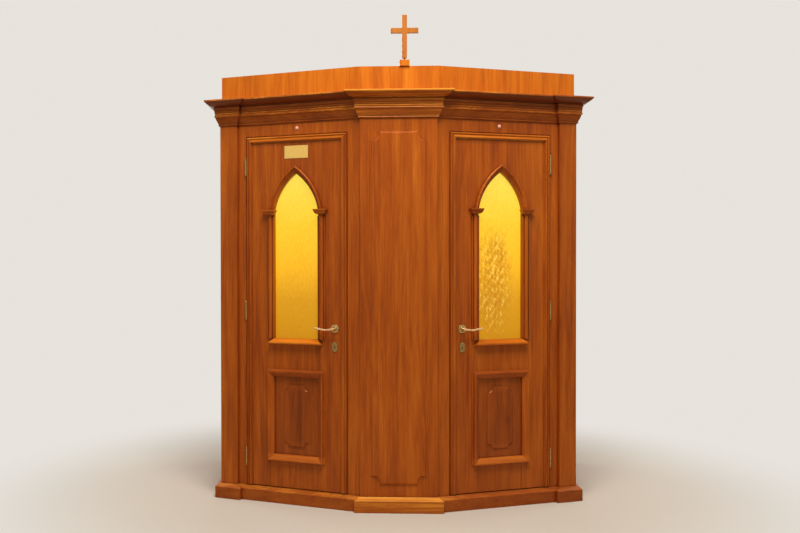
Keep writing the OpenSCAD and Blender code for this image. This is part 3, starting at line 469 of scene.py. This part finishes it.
# kind and grain of each wooden node of a door
DOOR = {
    "stiles": ("body", "z"), "rails": ("body", "z"), "lower_panel": ("field", "z"),
    "panel_moulding": ("framed", PANEL_FRAME), "hood_mould": ("body", "z"),
    # the window sill's warm, lighter tone paints a highlight on it
    "window_columns": ("body", "z"), "capitals": ("body", "u"), "window_sill": ("warm", "u"),
    "edge_moulding": ("edge", EDGE_FRAME), "glass_bead": ("body", "z"),
}
for prefix, side in SIDES:
    for part, (kind, grain) in DOOR.items():
        dress(prefix + part, finish(kind, side, grain, 0.4 if side > 0 else 0.0))
    dress(prefix + "glass", amber[side])
    dress(prefix + "lock_case", case_steel)
    for part in ("levers", "latch_bolt", "dead_bolt"):
        dress(prefix + part, polished)
    dress(prefix + "roses", rose_brass)
    dress(prefix + "hinge_leaves", worn_brass)
dress("left_name_plate", plate_brass)


# ---------------------------------------------------------------- surfaces

def surface(name, points, material, wrap=(False, False), marks=None):
    """Grids of points (..., rows, columns, 3) as one smooth mesh. wrap closes the rows or
    the columns, and marks are values of each point by name. Points that coincide are
    welded, so a pole is a fan, and faces turn outwards."""
    rows, cols = points.shape[-3:-1]
    row, col = np.meshgrid(np.arange(rows - (not wrap[0])), np.arange(cols - (not wrap[1])),
                           indexing="ij")
    here, above, beside = row * cols, (row + 1) % rows * cols, (col + 1) % cols
    quads = np.stack((here + col, here + beside, above + beside, above + col), -1).reshape(-1, 4)
    starts = np.arange(points.size // (rows * cols * 3)) * rows * cols
    quads = (quads + starts[:, None, None]).reshape(-1, 4)
    mesh = bpy.data.meshes.new(name)
    mesh.from_pydata(points.reshape(-1, 3).tolist(), [], quads.tolist())
    for key, values in (marks or {}).items():
        layer = mesh.attributes.new(key, "FLOAT", "POINT")
        layer.data.foreach_set("value", values.ravel().astype(np.float32))
    work = bmesh.new()
    work.from_mesh(mesh)
    bmesh.ops.remove_doubles(work, verts=work.verts, dist=2e-5)
    bmesh.ops.recalc_face_normals(work, faces=work.faces)
    work.to_mesh(mesh)
    work.free()
    smoothed(mesh)
    mesh.materials.append(material)
    piece = bpy.data.objects.new(name, mesh)
    bpy.context.scene.collection.objects.link(piece)
    return piece


def smoothed(mesh):
    """Shades the mesh as one smooth skin."""
    mesh.polygons.foreach_set("use_smooth", np.ones(len(mesh.polygons), bool))


def coords(mesh):
    """The mesh's points as an array."""
    flat = np.empty(len(mesh.vertices) * 3, np.float32)
    mesh.vertices.foreach_get("co", flat)
    return flat.reshape(-1, 3).astype(float)


def moved(mesh, points):
    """Puts the mesh's points at these places."""
    mesh.vertices.foreach_set("co", points.astype(np.float32).ravel())
    mesh.update()


# ---------------------------------------------------------------- window panes

SPRING, SILL = 1.727, 0.970              # heights of the window's spring and sill
HALF, RISE, BEND = 0.141, 0.213, 0.338   # half width, rise of the arch, radius of its sides
CHORD = math.hypot(HALF, RISE)
DEPTH = math.sqrt(BEND ** 2 - CHORD ** 2 / 4)
ARC_U, ARC_Z = DEPTH * RISE / CHORD - HALF / 2, RISE / 2 - DEPTH * HALF / CHORD


def window_half(z, grow):
    """Half width of the window at a height: straight up to the spring, and above it the
    root of radius squared less height above the arc's centre squared, less the centre's
    own distance from the middle."""
    up = np.maximum(z - SPRING, 0.0) - ARC_Z
    return np.sqrt(np.maximum((BEND + grow) ** 2 - up ** 2, ARC_U ** 2)) - ARC_U


def pane(prefix, side, seed):
    """Rolled glass pane in its rebate: a grid of heights and widths whose face is moved by
    a sum of seeded sine ripples, longer upright than across, and a flat back."""
    rows, cols, waves = 400, 88, 28
    grow, near, thick, swell = 0.008, 0.0212, 0.0046, 0.0012
    top = SPRING + ARC_Z + math.sqrt((BEND + grow) ** 2 - ARC_U ** 2)
    z = np.linspace(SILL - grow, top, rows)
    u = window_half(z, grow)[:, None] * np.linspace(-1, 1, cols)
    z = np.repeat(z[:, None], cols, 1)
    dice = np.random.default_rng(seed)
    wave_u = dice.normal(0, 2 * np.pi / 0.018, waves)
    wave_z = dice.normal(0, 2 * np.pi / 0.060, waves)
    relief = np.sin(u[..., None] * wave_u + z[..., None] * wave_z
                    + dice.uniform(0, 2 * np.pi, waves)).sum(-1)
    relief = (relief - relief.min()) / (relief.max() - relief.min())
    front = np.stack((MIDDLE + u, near + swell * (1 - relief), z), -1)
    back = np.stack((MIDDLE + u, np.full_like(u, near + thick), z), -1)
    ring = np.concatenate((front, back[:, ::-1]), 1)
    foot = ring[:1].copy()
    foot[..., 1] = near + thick / 2
    height = np.concatenate((relief, relief[:, ::-1]), 1)
    piece = surface(prefix + "pane", in_wing(side, np.concatenate((foot, ring))), amber[side],
                    (False, True), {"relief": np.concatenate((height[:1], height))})
    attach(piece, prefix + "door")
    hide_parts(prefix + "glass")


pane("left_", -1, 11)
pane("right_", 1, 23)


# ---------------------------------------------------------------- upholstery

def squared_ring(count):
    """Points round a superellipse of power 9, which is a square with rounded corners."""
    turn = np.linspace(0, 2 * np.pi, count, endpoint=False)
    ring = np.stack((np.cos(turn), np.sin(turn)), -1)
    return np.sign(ring) * np.abs(ring) ** (2 / 9)


def cushion_grid(low, high, edge):
    """Rings of a box cushion, from a pole under its middle, round the lower edge, up the
    side and round the upper edge to a pole on top. A ring is a squared ring, scaled by how
    far it lies from the pole; the edges are quarter circles."""
    plan = squared_ring(180)
    middle, size = (low + high) / 2, (high - low) / 2
    bend = np.linspace(0, np.pi / 2, 6)
    scale = np.concatenate(([0, 0.3, 0.6, 0.85], np.ones(12), [0.85, 0.6, 0.3, 0]))
    out = edge * np.concatenate((np.zeros(4), np.sin(bend), np.cos(bend), np.zeros(4)))
    up = np.concatenate((np.full(4, -size[2]), -size[2] + edge * (1 - np.cos(bend)),
                         size[2] - edge * (1 - np.sin(bend)), np.full(4, size[2])))
    flat = plan * (size[:2] - edge + out[:, None])[:, None] * scale[:, None, None]
    return np.concatenate((middle[:2] + flat, np.broadcast_to(
        middle[2] + up[:, None, None], flat.shape[:2] + (1,))), -1)


def inflate(piece, voxel, pressure, cap):
    """Fills a cushion: its voxel copy is blown up as cloth without gravity, and no point
    moves further than cap. Afterwards one subdivision rounds it."""
    frames, stiffness = 20, 20
    scene, view = bpy.context.scene, bpy.context.view_layer
    remesh = piece.modifiers.new("voxels", "REMESH")
    remesh.mode, remesh.voxel_size = "VOXEL", voxel

    def baked():
        """The piece's mesh with its modifiers applied."""
        graph = bpy.context.evaluated_depsgraph_get()
        return bpy.data.meshes.new_from_object(piece.evaluated_get(graph))

    view.update()
    mesh = baked()
    piece.modifiers.clear()
    piece.data = mesh
    start = coords(mesh)
    cloth = piece.modifiers.new("stuffing", "CLOTH")
    cloth.settings.quality = 5
    cloth.settings.use_pressure = True
    cloth.settings.uniform_pressure_force = pressure
    cloth.settings.effector_weights.gravity = 0.0
    cloth.settings.tension_stiffness = cloth.settings.compression_stiffness = stiffness
    cloth.collision_settings.use_collision = False
    cloth.point_cache.frame_start, cloth.point_cache.frame_end = 1, frames
    for now in range(1, frames + 1):
        scene.frame_set(now)
    blown = baked()
    swell = coords(blown) - start
    length = np.maximum(np.linalg.norm(swell, axis=1), 1e-9)
    piece.modifiers.clear()
    moved(mesh, start + swell * np.minimum(1.0, cap / length)[:, None])
    scene.frame_set(1)
    round_off = piece.modifiers.new("round", "SUBSURF")
    round_off.levels = round_off.render_levels = 1
    view.update()
    piece.data = baked()
    piece.modifiers.clear()


def stuffed(name, node, channels):
    """Velvet cushion in the place of its plain solid, flat underneath, with sewn channels
    that dip by a bell curve round each line, and piping round its upper and lower seams."""
    dip, dip_width, cord_radius = 0.012, 0.009, 0.0032
    low, high = (np.array(corner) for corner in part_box(node))
    slack = cushion_grid(low + (0.010, 0.010, 0), high - (0.010, 0.010, 0.012), 0.016)
    piece = surface(name, slack, pile, (False, True))
    inflate(piece, voxel=0.007, pressure=4.0, cap=0.014)
    at = np.clip(coords(piece.data), low - (0.006, 0.006, 0), high + (0.006, 0.006, 0.008))
    middle = (low + high) / 2
    on_top = np.clip((at[:, 2] - middle[2]) / (high[2] - middle[2]), 0, 1)
    inside = np.clip(4.3 - 5 * np.abs((at - middle) / (at.max(0) - middle))[:, :2], 0, 1)
    for axis, line in channels:
        at[:, 2] -= (dip * on_top * inside.prod(1)
                     * np.exp(-((at[:, axis] - line) / dip_width) ** 2))
    moved(piece.data, at)
    smoothed(piece.data)
    hull = BVHTree.FromPolygons(at.tolist(), [tuple(f.vertices) for f in piece.data.polygons])
    plan = squared_ring(260) * (high - low)[:2] * 0.62      # a ring just outside the cushion
    pieces = [piece]
    for seam, height in (("upper", high[2] - 0.014), ("lower", low[2] + 0.008)):
        path = []
        for way in plan:
            eye = Vector((middle[0] + way[0], middle[1] + way[1], height))
            hit = hull.ray_cast(eye, Vector((middle[0] + way[0] * 0.55 - eye.x,
                                             middle[1] + way[1] * 0.55 - eye.y, 0)))[0]
            path.append(hit)
        pieces.append(piping(name + "_piping_" + seam, np.array(path), cord_radius))
    for part in pieces:
        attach(part, "booth")
    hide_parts(node)


def piping(name, path, radius):
    """Round cord along a closed path: a circle in the plane of each point's outward and
    upward directions. The path is evened by averaging each point with its neighbours."""
    for _ in range(6):
        path = (np.roll(path, 1, 0) + path * 2 + np.roll(path, -1, 0)) / 4
    ahead = np.roll(path, -1, 0) - np.roll(path, 1, 0)
    ahead /= np.linalg.norm(ahead, axis=1)[:, None]
    out = np.cross(ahead, (0.0, 0.0, 1.0))
    turn = np.linspace(0, 2 * np.pi, 10, endpoint=False)[:, None, None]
    ring = path + radius * (np.cos(turn) * out + np.sin(turn) * np.array((0.0, 0.0, 1.0)))
    return surface(name, ring, cord, (True, True))


seat_low, seat_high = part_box("seat_cushion")
third = (seat_high.x - seat_low.x) / 3
stuffed("seat_cushion_velvet", "seat_cushion",
        [(0, seat_low.x + third), (0, seat_low.x + 2 * third)])
pad_low, pad_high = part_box("kneeler_pad")
stuffed("kneeler_pad_velvet", "kneeler_pad", [(1, (pad_low.y + pad_high.y) / 2)])


# ---------------------------------------------------------------- screws

def screws(name, body, side, places):
    """Slotted screw heads at (middle, outward, size) in a wing: rings round an axis whose
    height is dome times one less the squared distance, less a slot across the middle."""
    spread = np.array([0, 0.12, 0.2, 0.3, 0.45, 0.6, 0.75, 0.9, 1.0, 1.0, 0.0])
    sink = np.array([0] * 9 + [-1] * 2)
    turn = np.linspace(0, 2 * np.pi, 24, endpoint=False)
    a = spread[:, None] * np.cos(turn)
    b = spread[:, None] * np.sin(turn)
    slot = np.clip(1.6 - np.abs(b) * 9, 0, 1) * (sink > -1)[:, None]
    up = 0.28 * (1 - spread[:, None] ** 2) - 0.22 * slot + 0.12 + sink[:, None] * 0.3
    heads = []      # each head's slot is turned by its own angle
    for middle, outward, size in places:
        out = np.array(outward, float)
        one = np.cross(out, (0.0, 0.0, 1.0))
        lean = math.sin(len(heads) * 2.4) * 0.9
        two = np.cross(out, one)
        one, two = (one * math.cos(lean) + two * math.sin(lean),
                    two * math.cos(lean) - one * math.sin(lean))
        heads.append(np.array(middle) + size * (a[..., None] * one + b[..., None] * two
                                                + up[..., None] * out))
    piece = surface(name, in_wing(side, np.array(heads)), worn_brass, (False, True))
    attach(piece, body)


HINGE_SCREWS = [(0.013 if dz == 0 else 0.023, z + dz)          # depth and height
                for z in (0.258, 1.1295, 1.988) for dz in (-0.030, 0.0, 0.030)]
LEVER_U, LEVER_Z, KEY_Z, LEAF = 0.153, 1.036, 0.931, 0.045     # lever, keyhole and leaf
for prefix, side in SIDES:
    door = [((0.077, LEAF / 2, z), (-1, 0, 0), 0.0036) for z in (0.872, 1.083)]
    door += [((0.722, n, z), (1, 0, 0), 0.0032) for n, z in HINGE_SCREWS]
    for face, out in ((0.0, -1), (LEAF, 1)):
        door += [((LEVER_U, face + out * 0.0052, LEVER_Z + dz), (0, out, 0), 0.0030)
                 for dz in (-0.0195, 0.0195)]
        door += [((LEVER_U, face + out * 0.0040, KEY_Z + dz), (0, out, 0), 0.0026)
                 for dz in (-0.0225, 0.0225)]
    screws(prefix + "door_screws", prefix + "door", side, door)
    jamb = [((0.074, LEAF / 2, z), (1, 0, 0), 0.0034) for z in (0.899, 1.068)]
    jamb += [((0.725, n, z), (-1, 0, 0), 0.0032) for n, z in HINGE_SCREWS]
    screws(prefix + "frame_screws", "booth", side, jamb)


# ---------------------------------------------------------------- studio

PALE = (0.80, 0.77, 0.72)      # the surround's colour


def floor():
    """Flat pale square under the booth, which far away takes the surround's own colour."""
    reach, near, far_off = 14.0, 1.3, 2.9
    mesh = bpy.data.meshes.new("floor")
    mesh.from_pydata([(-reach, -reach, 0), (reach, -reach, 0), (reach, reach, 0),
                      (-reach, reach, 0)], [], [(0, 1, 2, 3)])
    shade = Shade("floor_pale")
    grit = shade.noise(shade.at(), 3.0, 3.0)
    shade.set(Base_Color=shade.mix(grit * 0.25, (0.62, 0.56, 0.48), (0.57, 0.51, 0.43)),
              Roughness=0.7, Specular_IOR_Level=0.2)
    x, y, _ = shade.at().xyz()
    seen = shade.node("ShaderNodeLightPath", {})
    far = ((x * x + y * y) ** 0.5).step(near, far_off) * seen
    glow = shade.add("ShaderNodeEmission", {}, Color=PALE)
    blend = shade.add("ShaderNodeMixShader", {}, far)
    shade.tree.links.new(shade.surface.outputs[0], blend.inputs[1])
    shade.tree.links.new(glow.outputs[0], blend.inputs[2])
    shade.tree.links.new(blend.outputs[0], shade.end)
    mesh.materials.append(shade.material)
    made_floor = bpy.data.objects.new("floor", mesh)
    bpy.context.scene.collection.objects.link(made_floor)


def lamp(name, place, aim, size, power, colour):
    """Square soft lamp at a place, facing a point."""
    light = bpy.data.lights.new(name, "AREA")
    light.shape, light.size, light.energy, light.color = "SQUARE", size, power, colour
    holder = bpy.data.objects.new(name, light)
    holder.location = place
    holder.rotation_euler = (Vector(aim) - Vector(place)).to_track_quat("-Z", "Y").to_euler()
    bpy.context.scene.collection.objects.link(holder)


def world():
    """Pale surround for the camera and for reflections, dimmer as a light."""
    made_world = bpy.data.worlds.new("studio")
    bpy.context.scene.world = made_world
    made_world.use_nodes = True
    tree = made_world.node_tree
    tree.nodes.clear()
    new, link = tree.nodes.new, tree.links.new
    path, out = new("ShaderNodeLightPath"), new("ShaderNodeOutputWorld")
    seen, soft = new("ShaderNodeBackground"), new("ShaderNodeBackground")
    mix, first, second = new("ShaderNodeMixShader"), new("ShaderNodeMath"), new("ShaderNodeMath")
    first.operation = second.operation = "MAXIMUM"
    seen.inputs["Color"].default_value = (*PALE, 1)
    soft.inputs["Color"].default_value = (1.0, 0.97, 0.93, 1)
    soft.inputs["Strength"].default_value = 0.22
    link(path.outputs["Is Camera Ray"], first.inputs[0])
    link(path.outputs["Is Transmission Ray"], first.inputs[1])
    link(first.outputs[0], second.inputs[0])
    link(path.outputs["Is Glossy Ray"], second.inputs[1])
    link(second.outputs[0], mix.inputs[0])
    link(soft.outputs[0], mix.inputs[1])
    link(seen.outputs[0], mix.inputs[2])
    link(mix.outputs[0], out.inputs["Surface"])


def camera():
    """Camera at eye height, a little to the left and turned slightly further left."""
    width, focal, centre = 800.0, 925.0, 326.71      # of the frame, in one unit
    sensor = 36.0
    eye = Vector((-0.1757, -5.869, 1.46))
    yaw, pitch, roll = math.radians(-2.53), math.radians(0.70), math.radians(-0.11)
    right = Vector((math.cos(yaw), -math.sin(yaw), 0))
    ahead = Vector((math.sin(yaw), math.cos(yaw), 0))
    up = Vector((0, 0, 1))
    ahead, up = (math.cos(pitch) * ahead - math.sin(pitch) * up,
                 math.sin(pitch) * ahead + math.cos(pitch) * up)
    right, up = (math.cos(roll) * right + math.sin(roll) * up,
                 math.cos(roll) * up - math.sin(roll) * right)
    data = bpy.data.cameras.new("camera")
    data.sensor_fit, data.sensor_width = "HORIZONTAL", sensor
    data.lens = focal / width * sensor
    data.shift_x = (width / 2 - centre) / width
    holder = bpy.data.objects.new("camera", data)
    turn = Matrix((right, up, -ahead)).transposed().to_4x4()
    holder.matrix_world = Matrix.Translation(eye) @ turn
    bpy.context.scene.collection.objects.link(holder)
    bpy.context.scene.camera = holder


floor()
world()
lamp("key", (0.05, -2.95, 5.45), (0, -0.7, 1.2), 2.2, 268, (1.0, 0.95, 0.88))
for place in ((-5.2, 2.4, 3.6), (5.2, 2.4, 3.6), (0.0, 6.2, 4.0)):
    lamp("rear", place, (0, 0.4, 1.0), 2.6, 95, (1.0, 0.95, 0.89))
camera()
bpy.context.scene.view_settings.view_transform = "Standard"
